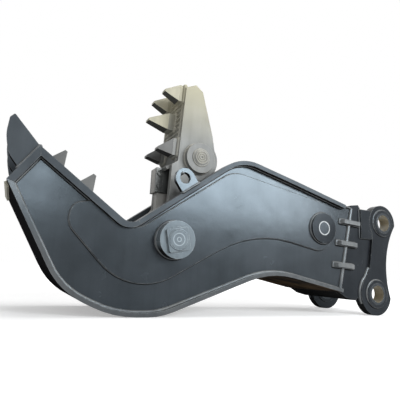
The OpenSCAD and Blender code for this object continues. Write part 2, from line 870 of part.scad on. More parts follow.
module pivot_bosses() {
    color(paint) both_sides()
        ring_bar(main_pivot, main_boss_r, main_pin_r + press_gap, doubler_y, main_boss_y);
}

module main_pin() {
    end_y = main_boss_y + keeper_t + pin_end_proud;
    color(pin_steel) union() {
        bar(main_pivot, main_pin_r, -main_boss_y, main_boss_y);
        bar(main_pivot, pin_end_r, -end_y, end_y);
    }
}

// Square plate that holds the main pin on each side
module main_pin_keepers() {
    half = keeper_side / 2;
    square_points = [[-half, -half], [half, -half], [half, half], [-half, half]];
    color(paint) both_sides() difference() {
        slab(main_boss_y, main_boss_y + keeper_t) translate(main_pivot) rotate(keeper_turn)
            polygon(rounded(square_points, [for (i = [0 : 3]) keeper_corner]));
        bar(main_pivot, pin_end_r + press_gap, main_boss_y - overrun, main_boss_y + keeper_t + overrun);
    }
}

module base_pin() {
    color(pin_steel) union() {
        bar(base_pivot, base_pin_r, -doubler_y, doubler_y);
        bar(base_pivot, base_end_r, -base_cap_y, base_cap_y);
    }
}

module base_pin_caps() {
    color(paint) both_sides()
        ring_bar(base_pivot, base_cap_r, base_end_r + press_gap, doubler_y, base_cap_y);
}

module base_pin_bosses() {
    color(paint) both_sides() ring_bar(
        base_pivot, inner_boss_r, base_pin_r + press_gap, base_eye_w / 2 + face_gap, side_in_y
    );
}

// Jaw cheek: round at both pins, tapering to the tip
module jaw_cheek() {
    color(jaw_paint) difference() {
        union() {
            bar(main_pivot, jaw_root_r, jaw_in_y, jaw_y);
            bar(rod_pivot, jaw_ear_r, jaw_in_y, jaw_y);
            slab(jaw_in_y, jaw_y) polygon(concat(
                [for (share = shoulder_shares) at_root(share)],
                [face_low, face_high, jaw_tip, back_high, back_low],
                [for (share = cheek_root_shares) at_root(share)]
            ));
        }
        bar(main_pivot, hub_r, jaw_in_y - overrun, jaw_y + overrun);
        bar(rod_pivot, rod_pin_r + press_gap, jaw_in_y - overrun, jaw_y + overrun);
    }
}

module left_jaw_cheek() on_left() jaw_cheek();
module right_jaw_cheek() jaw_cheek();

// Places of the blade bolts up the blades
blade_low = at_root(blade_low_share);
blade_pitch = blade_h / blade_bolt_count;
blade_bolts_at = [for (i = [0 : blade_bolt_count - 1])
    blade_low + [blade_w / 2, blade_pitch * (i + 1 / 2)]];

module jaw_web() {
    color(jaw_paint) difference() {
        slab(-web_t / 2, web_t / 2)
            polygon(concat([for (share = web_shares) at_root(share)], [corner_under]));
        bar(main_pivot, hub_r, -web_t, web_t);
        for (p = blade_bolts_at) bar(p, blade_bolt_r + bolt_gap, -web_t, web_t);
    }
}

// Plate behind the teeth, bent to a shelf below them, with a slot for the blades
module jaw_face_plate() {
    slot_y = web_t / 2 + blade_t + bolt_gap;
    slot_x = blade_low.x + 2 * blade_w + bolt_gap;
    color(jaw_paint) difference() {
        slab(-jaw_in_y, jaw_in_y) polygon([
            shelf_low, face_low, face_high, face_high - face_out * jaw_plate_t,
            corner_under, shelf_low + shelf_in * jaw_plate_t
        ]);
        translate([slot_x - jaw_l, -slot_y, blade_low.y]) cube([jaw_l, 2 * slot_y, 2 * blade_h]);
    }
}

module jaw_back_plate() {
    inside = back_in * jaw_plate_t;
    color(jaw_paint) slab(-jaw_in_y, jaw_in_y)
        polygon([back_low, back_high, back_high + inside, back_low + inside]);
}

// Bent plate that closes the tip
module jaw_tip_plate() {
    down = face_dir * jaw_plate_t;
    back_inside = back_high + back_in * jaw_plate_t;
    face_inside = face_high - face_out * jaw_plate_t;
    color(jaw_paint) slab(-jaw_in_y, jaw_in_y)
        polygon([face_high, jaw_tip, back_high, back_inside, jaw_tip - down, face_inside]);
}

module pivot_hub() {
    bush_r = main_pin_r + turn_fit + pivot_bush_t;
    color(jaw_paint) ring_bar(main_pivot, hub_r, bush_r, -hub_y, hub_y);
}

module pivot_bushes() {
    bush_r = main_pin_r + turn_fit + pivot_bush_t;
    color(bush_steel) both_sides()
        ring_bar(main_pivot, bush_r, main_pin_r + turn_fit, hub_y - pivot_bush_l, hub_y);
}

module rod_pin_bosses() {
    color(jaw_paint) both_sides()
        ring_bar(rod_pivot, rod_boss_r, rod_pin_r + press_gap, jaw_y, rod_boss_y);
}

module rod_pin() {
    color(pin_steel) bar(rod_pivot, rod_pin_r, -rod_boss_y, rod_boss_y);
}

module rod_pin_keepers() {
    color(jaw_paint) both_sides()
        bar(rod_pivot, rod_keeper_r, rod_boss_y, rod_keeper_y);
}

// A tooth on the face of the jaw, on a base block of the given thickness
module jaw_tooth(share, pad_t, length, height, width, tip_at) {
    start = face_low + face_dir * (share * face_len - length / 2) + face_out * pad_t;
    tooth(start, face_dir, face_out, length, height, width, tip_at);
}

// The same paired tooth on both sides of the middle
module paired_teeth(share, tip_at) {
    both_sides() translate([0, pair_tooth_y, 0])
        jaw_tooth(share, pair_pad_t, pair_tooth_l, pair_tooth_h, pair_tooth_w, tip_at);
}

module tip_teeth() color(tooth_steel) paired_teeth(tip_teeth_share, upper_tip_at_share);
module throat_teeth() color(jaw_paint) paired_teeth(throat_teeth_share, throat_tip_at_share);

module center_tooth() {
    color(tooth_steel)
        jaw_tooth(mid_tooth_share, mid_pad_t, mid_tooth_l, mid_tooth_h, mid_tooth_w, mid_tip_at_share);
}

module tooth_base(share, y, thickness, length, width) {
    near = face_low + face_dir * (share * face_len - length / 2) + face_out * seat_gap;
    far = near + face_dir * length;
    top = face_out * (thickness - seat_gap);
    slab(y - width / 2, y + width / 2) polygon([near, far, far + top, near + top]);
}

module tooth_bases() {
    color(jaw_paint) {
        both_sides() for (share = [throat_teeth_share, tip_teeth_share])
            tooth_base(share, pair_tooth_y, pair_pad_t, pair_tooth_l, pair_tooth_w);
        tooth_base(mid_tooth_share, 0, mid_pad_t, mid_tooth_l, mid_tooth_w);
    }
}

// Bars that back the blades on both faces of the web
module blade_backing_bars() {
    p = blade_low + [blade_w, 0];
    color(blade_steel) both_sides() slab(web_t / 2, web_t / 2 + blade_t)
        translate(p) square([blade_w, blade_h]);
}

module cutter_blades() {
    edge_y = web_t / 2 + blade_t;
    color(blade_steel) both_sides() difference() {
        slab(web_t / 2, edge_y) translate(blade_low) square([blade_w, blade_h]);
        for (p = blade_bolts_at) bar(p, blade_bolt_r + bolt_gap, 0, edge_y + overrun);
    }
}

// Through bolts with a head on the left and a nut on the right
module blade_bolts() {
    edge_y = web_t / 2 + blade_t;
    head_h = bolt_head_h_share * blade_bolt_r;
    color(pin_steel) for (p = blade_bolts_at) union() {
        bar(p, blade_bolt_r, -edge_y - head_h, edge_y + head_h);
        for (y = [-edge_y - head_h, edge_y])
            translate([p.x, y, p.y]) rotate([-90, 0, 0])
                cylinder(r = bolt_head_share * blade_bolt_r, h = head_h, $fn = 6);
    }
}

module barrel_tube() {
    color(paint) along_cylinder() difference() {
        union() {
            axial(tube_r, disc_x, tube_end_x);
            for (share = port_shares)
                translate([disc_x + share * (tube_end_x - disc_x), 0, -tube_r - port_h])
                    cylinder(r = port_r, h = tube_r + port_h);
        }
        axial(bore_r, chamber_x, tube_end_x + overrun);
        for (share = port_shares)
            translate([disc_x + share * (tube_end_x - disc_x), 0, -tube_r - port_h - overrun])
                cylinder(r = port_bore_r, h = tube_t + port_h + 2 * overrun);
    }
}

// Eye on the closed end of the tube, with a block that reaches the tube's disc
module base_eye() {
    eye_hole_r = base_pin_r + turn_fit + base_bush_t;
    half = base_eye_w / 2;
    color(paint) along_cylinder() difference() {
        union() {
            bar([0, 0], base_eye_r, -half, half);
            translate([0, -half, -half]) cube([disc_x, base_eye_w, base_eye_w]);
        }
        bar([0, 0], eye_hole_r, -half - overrun, half + overrun);
    }
}

module base_eye_bush() {
    half = base_eye_w / 2;
    eye_hole_r = base_pin_r + turn_fit + base_bush_t;
    color(bush_steel) ring_bar(base_pivot, eye_hole_r, base_pin_r + turn_fit, -half, half);
}

module gland() {
    color(pin_steel) along_cylinder() difference() {
        union() {
            axial(bore_r, gland_x, tube_end_x);
            axial(tube_r, tube_end_x, gland_end_x);
        }
        axial(rod_r + turn_fit, gland_x - overrun, gland_end_x + overrun);
    }
}

module rod() {
    color(chrome) along_cylinder() union() {
        axial(rod_r, piston_x + piston_l, rod_end_x);
        axial(rod_spigot_r, piston_x, piston_x + piston_l);
    }
}

module piston() {
    color(pin_steel) along_cylinder() difference() {
        axial(bore_r - turn_fit, piston_x, piston_x + piston_l);
        axial(rod_spigot_r, piston_x - overrun, piston_x + piston_l + overrun);
    }
}

// Eye on the end of the rod, loose on its pin
module rod_eye() {
    half = rod_eye_w / 2;
    centre = [cyl_len, 0];
    color(paint) along_cylinder() difference() {
        union() {
            bar(centre, rod_eye_r, -half, half);
            axial(rod_r, rod_end_x, cyl_len - rod_eye_bore_r);
        }
        bar(centre, rod_eye_bore_r, -half - overrun, half + overrun);
    }
}

left_side_plate();
right_side_plate();
left_doubler();
right_doubler();
belly_plate();
jaw_deck();
front_end_plate();
left_top_flange();
right_top_flange();
rear_top_cover();
throat_diaphragm();
rear_bulkhead();
bracket_cheeks();
bracket_top_plate();
bracket_bottom_plate();
neck_pads();
left_ear();
right_ear();
ear_boss_rings();
ear_bushes();
seam_gussets();
left_fang();
middle_fang();
right_fang();
deck_side_teeth();
deck_center_tooth();
fixed_blades();
front_wear_bar();
lifting_lug();
pivot_bosses();
main_pin();
main_pin_keepers();
base_pin();
base_pin_caps();
base_pin_bosses();
left_jaw_cheek();
right_jaw_cheek();
jaw_web();
jaw_face_plate();
jaw_back_plate();
jaw_tip_plate();
pivot_hub();
pivot_bushes();
rod_pin_bosses();
rod_pin();
rod_pin_keepers();
tip_teeth();
center_tooth();
throat_teeth();
tooth_bases();
blade_backing_bars();
cutter_blades();
blade_bolts();
barrel_tube();
base_eye();
base_eye_bush();
gland();
rod();
rod_eye();
piston();
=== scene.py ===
import json
import math

import bpy
from mathutils import Matrix, Vector


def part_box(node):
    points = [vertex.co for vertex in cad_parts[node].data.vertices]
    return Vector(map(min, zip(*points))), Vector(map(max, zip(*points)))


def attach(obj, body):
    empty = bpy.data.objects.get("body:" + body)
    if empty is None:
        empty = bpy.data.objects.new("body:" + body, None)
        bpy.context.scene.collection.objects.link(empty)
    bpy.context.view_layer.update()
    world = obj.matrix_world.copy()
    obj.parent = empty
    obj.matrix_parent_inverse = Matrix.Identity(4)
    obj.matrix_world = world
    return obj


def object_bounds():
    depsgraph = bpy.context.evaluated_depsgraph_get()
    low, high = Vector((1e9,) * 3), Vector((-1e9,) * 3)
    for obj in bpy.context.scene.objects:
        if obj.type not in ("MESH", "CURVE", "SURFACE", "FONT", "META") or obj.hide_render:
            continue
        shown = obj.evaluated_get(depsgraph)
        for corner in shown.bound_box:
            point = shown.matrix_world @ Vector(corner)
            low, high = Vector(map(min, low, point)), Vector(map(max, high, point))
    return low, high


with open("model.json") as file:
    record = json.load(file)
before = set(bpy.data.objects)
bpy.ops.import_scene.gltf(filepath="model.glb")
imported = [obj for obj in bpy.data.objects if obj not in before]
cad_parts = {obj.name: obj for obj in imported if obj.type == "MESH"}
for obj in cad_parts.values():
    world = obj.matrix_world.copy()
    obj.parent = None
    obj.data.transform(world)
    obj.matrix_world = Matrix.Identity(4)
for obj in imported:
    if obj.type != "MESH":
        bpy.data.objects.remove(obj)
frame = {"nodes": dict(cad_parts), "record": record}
cad_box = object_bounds()
NODES = frame["nodes"]

MM = 0.001

# Directions that the plates of the body and the jaw face
DECK_OUT = Vector((0.582, 0, 0.813))
SLOPE_OUT = Vector((-0.593, 0, 0.805))
FRONT_OUT = Vector((-0.824, 0, 0.567))
FACE_OUT = Vector((-0.998, 0, 0.059))

UP = (0, 0, 1)
ALONG_PINS = (0, 1, 0)
WHITE = (1, 1, 1)


# Editing

def deselect_all():
    """Object mode with nothing selected."""
    if bpy.context.mode != "OBJECT":
        bpy.ops.object.mode_set(mode="OBJECT")
    bpy.ops.object.select_all(action="DESELECT")


def choose(*pieces):
    """Only these objects selected, the first one active."""
    deselect_all()
    for piece in pieces:
        piece.select_set(True)
    bpy.context.view_layer.objects.active = pieces[0]


def pick(piece, kind, test):
    """Edit mode with only the VERT, EDGE or FACE parts of the piece that pass the test selected."""
    choose(piece)
    bpy.ops.object.mode_set(mode="EDIT")
    bpy.ops.mesh.select_mode(type=kind)
    bpy.ops.mesh.select_all(action="DESELECT")
    bpy.ops.object.mode_set(mode="OBJECT")
    mesh = piece.data
    parts = {"VERT": mesh.vertices, "EDGE": mesh.edges, "FACE": mesh.polygons}[kind]
    found = [part for part in parts if test(part)]
    for part in found:
        part.select = True
    bpy.ops.object.mode_set(mode="EDIT")
    return len(found)


def settle(piece):
    """Puts the piece's place into its mesh."""
    choose(piece)
    bpy.ops.object.transform_apply(location=True, rotation=True, scale=True)


def join(name, pieces, body, finish):
    """One named piece from several, riding on a body."""
    choose(*pieces)
    if len(pieces) > 1:
        bpy.ops.object.join()
    piece = bpy.context.object
    piece.name = name
    piece.data.materials.clear()
    piece.data.materials.append(finish)
    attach(piece, body)


def middle(node):
    """Centre of a CAD node's box."""
    low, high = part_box(node)
    return (low + high) / 2


# Pivots, on the middle plane
STICK_PIVOT = Vector()
LINK_PIVOT = Vector((-71.106, 0, -434.217)) * MM
MAIN_PIVOT = middle("pivot_bosses")
BASE_PIVOT = middle("base_pin_caps")
ROD_PIVOT = middle("rod_pin_bosses")


# Materials

# Width of worn edges, and rounding of corners in the light
WEAR_WIDTH = 5 * MM
CORNER_ROUNDING = 3 * MM

# How far up a surface faces where the dust starts and is full, and where the underside's dullness
# and its painted shade do
LEVEL = (0.1, 0.9)
UNDERSIDE = (-0.1, -0.5)
UNDERSIDE_SHADE = (-0.25, -0.6)

# How fine each mark is: the higher, the finer
MOTTLE = 4.0
STREAKS = (28, 28, 2)
DUST = 14.0
RUBBING = 30.0
GLOSS = 9.0
LUMPS = 16.0
GRAIN = 300.0
RUST = 7.0
SCRATCHES = 60.0

# The grain's depth as a share of the lumps', the streaks' tone as a share of the paint's, and how
# much duller the underside is
GRAIN_DEPTH = 0.06
STREAK_TONE = 0.6
UNDERSIDE_DULLNESS = 0.45

# Where the rust under the belly starts and is full, and the soft edge of the rings on a pin's end
RUST_X = (-0.95, -0.6)
RING_BLUR = 1.5 * MM


def new_material(name):
    """An empty node material, its node tree and its Principled shader."""
    material = bpy.data.materials.new(name)
    material.use_nodes = True
    tree = material.node_tree
    shader = tree.nodes["Principled BSDF"]
    return material, tree, shader


def put(tree, kind, **settings):
    """A node of that kind. Settings named after sockets go to the sockets, the rest to the node."""
    node = tree.nodes.new(kind)
    for key, value in settings.items():
        if hasattr(node, key):
            setattr(node, key, value)
        else:
            node.inputs[key.replace("_", " ")].default_value = value
    return node


def link(tree, start, end):
    tree.links.new(start, end)


def object_space(tree, scale=(1, 1, 1), move=(0, 0, 0)):
    place = put(tree, "ShaderNodeTexCoord")
    mapping = put(tree, "ShaderNodeMapping", Scale=scale, Location=move)
    link(tree, place.outputs["Object"], mapping.inputs["Vector"])
    return mapping.outputs["Vector"]


def noise(tree, where, scale, detail=4.0, roughness=0.55):
    node = put(tree, "ShaderNodeTexNoise", Scale=scale, Detail=detail, Roughness=roughness)
    link(tree, where, node.inputs["Vector"])
    return node.outputs["Fac"]


def span(tree, value, low, high, to_low=0.0, to_high=1.0):
    node = put(tree, "ShaderNodeMapRange", From_Min=low, From_Max=high, To_Min=to_low, To_Max=to_high)
    link(tree, value, node.inputs["Value"])
    return node.outputs["Result"]


def math_node(tree, operation, first, second):
    node = put(tree, "ShaderNodeMath", operation=operation)
    for value, socket in ((first, node.inputs[0]), (second, node.inputs[1])):
        if isinstance(value, (int, float)):
            socket.default_value = value
        else:
            link(tree, value, socket)
    return node.outputs[0]


def mixed(tree, amount, first, second):
    """Colour between first and second, each a colour or a socket."""
    node = put(tree, "ShaderNodeMix", data_type="RGBA")
    link(tree, amount, node.inputs[0])
    for value, socket in ((first, node.inputs[6]), (second, node.inputs[7])):
        if isinstance(value, tuple):
            socket.default_value = (*value, 1)
        else:
            link(tree, value, socket)
    return node.outputs[2]


def facing(tree, direction):
    """How far the surface faces a direction of the piece, from -1 to 1."""
    place = put(tree, "ShaderNodeTexCoord")
    dot = put(tree, "ShaderNodeVectorMath", operation="DOT_PRODUCT")
    link(tree, place.outputs["Normal"], dot.inputs[0])
    dot.inputs[1].default_value = direction
    return dot.outputs["Value"]


def rounded_normal(tree, radius):
    return put(tree, "ShaderNodeBevel", samples=4, Radius=radius).outputs["Normal"]


def edges(tree, radius):
    """1 on the sharp edges of a piece and 0 on its faces."""
    dot = put(tree, "ShaderNodeVectorMath", operation="DOT_PRODUCT")
    flat = put(tree, "ShaderNodeNewGeometry")
    link(tree, rounded_normal(tree, radius), dot.inputs[0])
    link(tree, flat.outputs["Normal"], dot.inputs[1])
    return span(tree, dot.outputs["Value"], 0.995, 0.85)


def distance_from(tree, at, keep=(1, 0, 1)):
    """Distance in metres from an axis along the pins, or from a place along the kept directions."""
    where = object_space(tree, scale=keep, move=[-k * part for k, part in zip(keep, at)])
    length = put(tree, "ShaderNodeVectorMath", operation="LENGTH")
    link(tree, where, length.inputs[0])
    return length.outputs["Value"]


def bumped(tree, shader, heights):
    """Bump from pairs of height socket and depth in metres, on corners rounded in the light."""
    normal = rounded_normal(tree, CORNER_ROUNDING)
    for height, depth in heights:
        bump = put(tree, "ShaderNodeBump", Strength=1.0, Distance=depth)
        link(tree, height, bump.inputs["Height"])
        link(tree, normal, bump.inputs["Normal"])
        normal = bump.outputs["Normal"]
    link(tree, normal, shader.inputs["Normal"])


def painted(name, tones, worn, roughness, dust=None, dust_amount=0.4, wear_amount=0.6, bottom=None,
            metallic=0.0, gleam=0.5, gleam_colour=WHITE, top=None, lumps=0.5 * MM):
    """Paint in two mottled tones, worn on its edges, streaked, and dusty where it faces up. The tones
    may change to a top colour between two heights, and to a painted shade colour on the underside."""
    material, tree, shader = new_material(name)
    shader.inputs["Specular IOR Level"].default_value = gleam
    shader.inputs["Specular Tint"].default_value = (*gleam_colour, 1)
    where = object_space(tree)
    mottle = span(tree, noise(tree, where, MOTTLE, 6.0), 0.3, 0.7)
    colour = mixed(tree, mottle, *tones)
    runs = noise(tree, object_space(tree, scale=STREAKS), 1.0, 5.0)
    streaks = span(tree, runs, 0.45, 0.75, 0.0, 0.35)
    colour = mixed(tree, streaks, colour, tuple(STREAK_TONE * tone for tone in tones[0]))
    if top:
        place = put(tree, "ShaderNodeSeparateXYZ")
        link(tree, where, place.inputs[0])
        colour = mixed(tree, span(tree, place.outputs["Z"], *top[0]), colour, top[1])
    # Painted shade: where the surface faces down, the colour darkens towards the given underside colour
    if bottom:
        colour = mixed(tree, span(tree, facing(tree, UP), *UNDERSIDE_SHADE), colour, bottom)
    if dust:
        level = span(tree, facing(tree, UP), *LEVEL)
        patches = span(tree, noise(tree, where, DUST, 8.0, 0.7), 0.35, 0.7)
        amount = math_node(tree, "MULTIPLY", math_node(tree, "MULTIPLY", level, patches), dust_amount)
        colour = mixed(tree, amount, colour, dust)
    rubbed = span(tree, noise(tree, where, RUBBING, 6.0, 0.7), 0.4, 0.6)
    chipped = math_node(tree, "MULTIPLY", edges(tree, WEAR_WIDTH), rubbed)
    chipped = math_node(tree, "MULTIPLY", chipped, wear_amount)
    colour = mixed(tree, chipped, colour, worn)
    link(tree, colour, shader.inputs["Base Color"])
    shader.inputs["Metallic"].default_value = metallic
    gloss = span(tree, noise(tree, where, GLOSS, 5.0), 0.3, 0.7, *roughness)
    if bottom:
        under = facing(tree, UP)
        gloss = math_node(tree, "ADD", gloss, span(tree, under, *UNDERSIDE, 0.0, UNDERSIDE_DULLNESS))
        link(tree, span(tree, under, *UNDERSIDE, gleam, 0.0), shader.inputs["Specular IOR Level"])
    link(tree, gloss, shader.inputs["Roughness"])
    uneven = noise(tree, where, LUMPS, 3.0)
    grain = noise(tree, where, GRAIN, 2.0)
    bumped(tree, shader, ((uneven, lumps), (grain, GRAIN_DEPTH * lumps)))
    return material, tree, shader


def paint(name, base=(), **changes):
    """A painted material, from a set of paint settings and what differs from it."""
    return painted(name, **dict(base, **changes))[0]


# Paints. The underside colours given to some of them are a painted shade.
BODY = dict(
    tones=((0.012, 0.0135, 0.0155), (0.026, 0.029, 0.033)), worn=(0.3, 0.31, 0.3), roughness=(0.2, 0.28),
    dust=(0.2, 0.19, 0.16), dust_amount=0.35, bottom=(0.014, 0.014, 0.014), wear_amount=0.55,
    gleam_colour=(0.72, 0.88, 1.0),
)
BODY_PAINT = paint("body paint", BODY)
# Body paint with darker tones, a painted shade on parts outside the key lamp's reflection, and a lower
# gleam
SHADED_BRACKET_PAINT = paint(
    "bracket paint with painted shade", BODY, tones=((0.008, 0.009, 0.011), (0.018, 0.02, 0.023)), gleam=0.2)
EDGE_PAINT = paint(
    "edge plate paint", BODY, tones=((0.026, 0.029, 0.033), (0.055, 0.06, 0.065)), roughness=(0.42, 0.55),
    gleam=0.4)
# Weld paint in lighter tones, partly a painted highlight on the beads' ripples; the gussets wear it too
WELD_PAINT_AND_HIGHLIGHT = paint(
    "painted weld and highlight", BODY, tones=((0.05, 0.054, 0.058), (0.2, 0.2, 0.195)), wear_amount=0, lumps=3 * MM)
# Boss paint in light bluish tones, partly a painted sheen of the key lamp's reflection
BOSS_AND_SHEEN = dict(BODY, tones=((0.1, 0.12, 0.135), (0.2, 0.235, 0.255)), worn=(0.5, 0.52, 0.52))
BOSS_AND_SHEEN_PAINT = paint("boss paint and sheen", BOSS_AND_SHEEN)
LUG_PAINT = paint("lug paint", BODY, tones=((0.05, 0.06, 0.07), (0.09, 0.11, 0.125)))
JAW = dict(
    tones=((0.13, 0.135, 0.135), (0.22, 0.225, 0.215)), worn=(0.5, 0.48, 0.4), roughness=(0.45, 0.62),
    dust=(0.5, 0.46, 0.34), dust_amount=0.7, top=((0.3, 0.64), (0.38, 0.355, 0.25)),
)
JAW_PAINT = paint("jaw paint", JAW)
# Painted light: the jaw paint made lighter on the web, against the shade inside the body's opening
LIGHTENED_WEB_PAINT = paint("web paint with painted light", JAW, tones=((0.4, 0.39, 0.37), (0.55, 0.54, 0.5)))
# Jaw weld paint in lighter tones, partly a painted highlight on the beads' ripples
JAW_WELD_AND_HIGHLIGHT = paint(
    "jaw weld and highlight", JAW, tones=((0.1, 0.1, 0.1), (0.42, 0.41, 0.36)), wear_amount=0, lumps=3 * MM)
TOOTH = paint(
    "tooth steel", tones=((0.34, 0.33, 0.26), (0.5, 0.47, 0.35)), worn=(0.6, 0.58, 0.48),
    roughness=(0.45, 0.65), dust=(0.6, 0.55, 0.4), dust_amount=0.6, bottom=(0.08, 0.08, 0.075),
)
WEAR_BAR = paint(
    "wear bar", tones=((0.3, 0.29, 0.24), (0.45, 0.43, 0.34)), worn=(0.6, 0.58, 0.48),
    roughness=(0.45, 0.65),
)
DECK_TOOTH = paint(
    "deck tooth steel", tones=((0.06, 0.065, 0.065), (0.12, 0.12, 0.115)), worn=(0.45, 0.44, 0.4),
    roughness=(0.4, 0.6), dust=(0.4, 0.38, 0.3), dust_amount=0.6, bottom=(0.05, 0.05, 0.05),
)
BLADE = paint(
    "blade steel", tones=((0.05, 0.055, 0.055), (0.1, 0.105, 0.1)), worn=(0.4, 0.4, 0.38),
    roughness=(0.3, 0.5), metallic=0.3,
)
STEEL = paint(
    "turned steel", tones=((0.3, 0.31, 0.32), (0.45, 0.46, 0.47)), worn=(0.6, 0.61, 0.62),
    roughness=(0.25, 0.45), metallic=0.8,
)
BRONZE = paint(
    "bronze", tones=((0.42, 0.27, 0.11), (0.55, 0.37, 0.16)), worn=(0.7, 0.5, 0.25),
    roughness=(0.25, 0.45), metallic=0.9,
)
CHROME = paint(
    "chrome", tones=((0.62, 0.62, 0.63), (0.72, 0.72, 0.73)), worn=(0.75, 0.75, 0.75),
    roughness=(0.06, 0.16), metallic=1.0, wear_amount=0.2,
)


def colour_of(shader):
    """Where the shader's colour comes from so far."""
    return shader.inputs["Base Color"].links[0].from_socket


def belly_finish(tones, black_shade, rust):
    """Body paint with a painted shade that makes it black underneath, and a patch of rust near the rear.
    """
    material, tree, shader = painted("belly paint", **dict(BODY, tones=tones, bottom=None))
    sides = colour_of(shader)
    under = span(tree, facing(tree, UP), *UNDERSIDE)
    where = put(tree, "ShaderNodeSeparateXYZ")
    link(tree, object_space(tree), where.inputs[0])
    rear = span(tree, where.outputs["X"], *RUST_X)
    patches = span(tree, noise(tree, object_space(tree), RUST, 8.0), 0.35, 0.6)
    # Painted shade: black where the belly faces down, mixed with the rust patches
    belly = mixed(tree, math_node(tree, "MULTIPLY", rear, patches), black_shade, rust)
    link(tree, mixed(tree, under, sides, belly), shader.inputs["Base Color"])
    link(tree, span(tree, under, 0.0, 0.9, 0.5, 0.0), shader.inputs["Specular IOR Level"])
    return material


def pin_end_finish(name, axis_at, rings, steel, base):
    """Paint with bare steel between the radii of each ring round a pin's axis."""
    material, tree, shader = painted(name, **base)
    colour = colour_of(shader)
    away = distance_from(tree, axis_at)
    for inner, outer in rings:
        outside = span(tree, away, inner - RING_BLUR, inner)
        inside = span(tree, away, outer + RING_BLUR, outer)
        scratches = span(tree, noise(tree, object_space(tree), SCRATCHES), 0.2, 0.45)
        ring = math_node(tree, "MULTIPLY", outside, inside)
        colour = mixed(tree, math_node(tree, "MULTIPLY", ring, scratches), colour, steel)
    link(tree, colour, shader.inputs["Base Color"])
    return material


def bore_finish(tones, face):
    """Bush with a bore in light tones and dark painted faces."""
    material, tree, shader = painted("ear bush", **dict(BODY, tones=tones, bottom=None))
    bore = colour_of(shader)
    across = math_node(tree, "ABSOLUTE", facing(tree, ALONG_PINS), 0.0)
    link(tree, mixed(tree, span(tree, across, 0.4, 0.6), bore, face), shader.inputs["Base Color"])
    return material


FINISH = {
    "body_paint": BODY_PAINT, "jaw_paint": JAW_PAINT, "tooth_steel": TOOTH, "blade_steel": BLADE,
    "pin_steel": STEEL, "bush_steel": STEEL, "bronze": BRONZE, "chrome": CHROME,
}

OWN_FINISH = {node: finish for finish, nodes in (
    (SHADED_BRACKET_PAINT, ("left_ear", "right_ear", "ear_boss_rings", "bracket_cheeks", "bracket_top_plate",
                     "bracket_bottom_plate", "neck_pads", "base_pin_caps")),
    (EDGE_PAINT, ("left_fang", "middle_fang", "right_fang", "jaw_deck", "front_end_plate",
                  "left_top_flange", "right_top_flange", "rear_top_cover")),
    (BOSS_AND_SHEEN_PAINT, ("pivot_bosses", "main_pin_keepers")),
    (DECK_TOOTH, ("throat_teeth", "deck_side_teeth", "deck_center_tooth")),
    (WELD_PAINT_AND_HIGHLIGHT, ("seam_gussets",)),
    (LUG_PAINT, ("lifting_lug",)),
    (BLADE, ("blade_bolts",)),
    (WEAR_BAR, ("front_wear_bar",)),
    (JAW_PAINT, ("rod_pin_keepers",)),
    (LIGHTENED_WEB_PAINT, ("jaw_web",)),
) for node in nodes}
# The belly's black underside is a painted shade
OWN_FINISH["belly_plate"] = belly_finish(
    tones=((0.045, 0.048, 0.05), (0.1, 0.1, 0.1)), black_shade=(0.012, 0.012, 0.013), rust=(0.07, 0.048, 0.03))
OWN_FINISH["ear_bushes"] = bore_finish(
    tones=((0.22, 0.18, 0.12), (0.4, 0.35, 0.25)), face=(0.02, 0.022, 0.024))
OWN_FINISH["main_pin"] = pin_end_finish(
    "main pin end", MAIN_PIVOT, rings=((8 * MM, 11 * MM), (26 * MM, 29 * MM)),
    steel=(0.3, 0.34, 0.365), base=BOSS_AND_SHEEN)
OWN_FINISH["base_pin"] = pin_end_finish(
    "base pin end", BASE_PIVOT, rings=((35 * MM, 40 * MM),), steel=(0.45, 0.46, 0.46), base=BODY)

for row in frame["record"]["subparts"]:
    for material_slot in NODES[row["node"]].material_slots:
        material_slot.material = OWN_FINISH.get(row["node"], FINISH[row["material_slot"]])


# Welds

# Outer faces of the plates and pins, as distances from the middle
SIDE_Y = 218 * MM
DOUBLER_Y = 230 * MM
EAR_Y = 232 * MM
CHEEK_Y = 135 * MM
FACE_WELD_Y = 105 * MM
ROD_KEEPER_SEAT_Y = 168 * MM
ROD_KEEPER_FACE_Y = 176 * MM
PIN_END_Y = 293.5 * MM

# Radii of the rings that the round welds follow. The ear rings of the stick pin lie round the
# frame's origin.
PIVOT_BOSS_R = 88 * MM
BASE_CAP_R = 87 * MM
ROD_BOSS_R = 80 * MM
ROD_KEEPER_R = 44 * MM
ROD_KEEPER_FACE_RINGS = (10 * MM, 21 * MM, 32 * MM)
PIN_END_R = 46 * MM
EAR_RING_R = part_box("ear_boss_rings")[1].x
RING_SIDES = 72

# Ends of the straight welds
SEAM_TOP = Vector((-253, 0, 67.2)) * MM
SEAM_LOW = Vector((-359, 0, -430.1)) * MM
FACE_LOW = Vector((-1367.3, 0, 199.7)) * MM
FACE_HIGH = Vector((-1343, 0, 610)) * MM

# The ear welds stay in front of the eye bores and above the lower hook
EAR_WELD_REAR_X = -105 * MM
EAR_WELD_LOW_Z = -500 * MM

# Radii of the beads, from fine to heavy
FINE = 5 * MM
THIN = 6 * MM
LIGHT = 7 * MM
MEDIUM = 8 * MM
FULL = 9 * MM
HEAVY = 12 * MM

# A bead's ripples: their length and sides, the neck's radius as a share of the bead's, and the
# crest's as a share of the neck's
RIPPLE = 7 * MM
RIPPLE_SIDES = 8
RIPPLE_NECK = 0.86
RIPPLE_CREST = 1.25

# Corners closer than these are the same corner, in a CAD node and in a row of ripples
SAME_CORNER = 0.02 * MM
SAME_RIPPLE_CORNER = 0.01 * MM

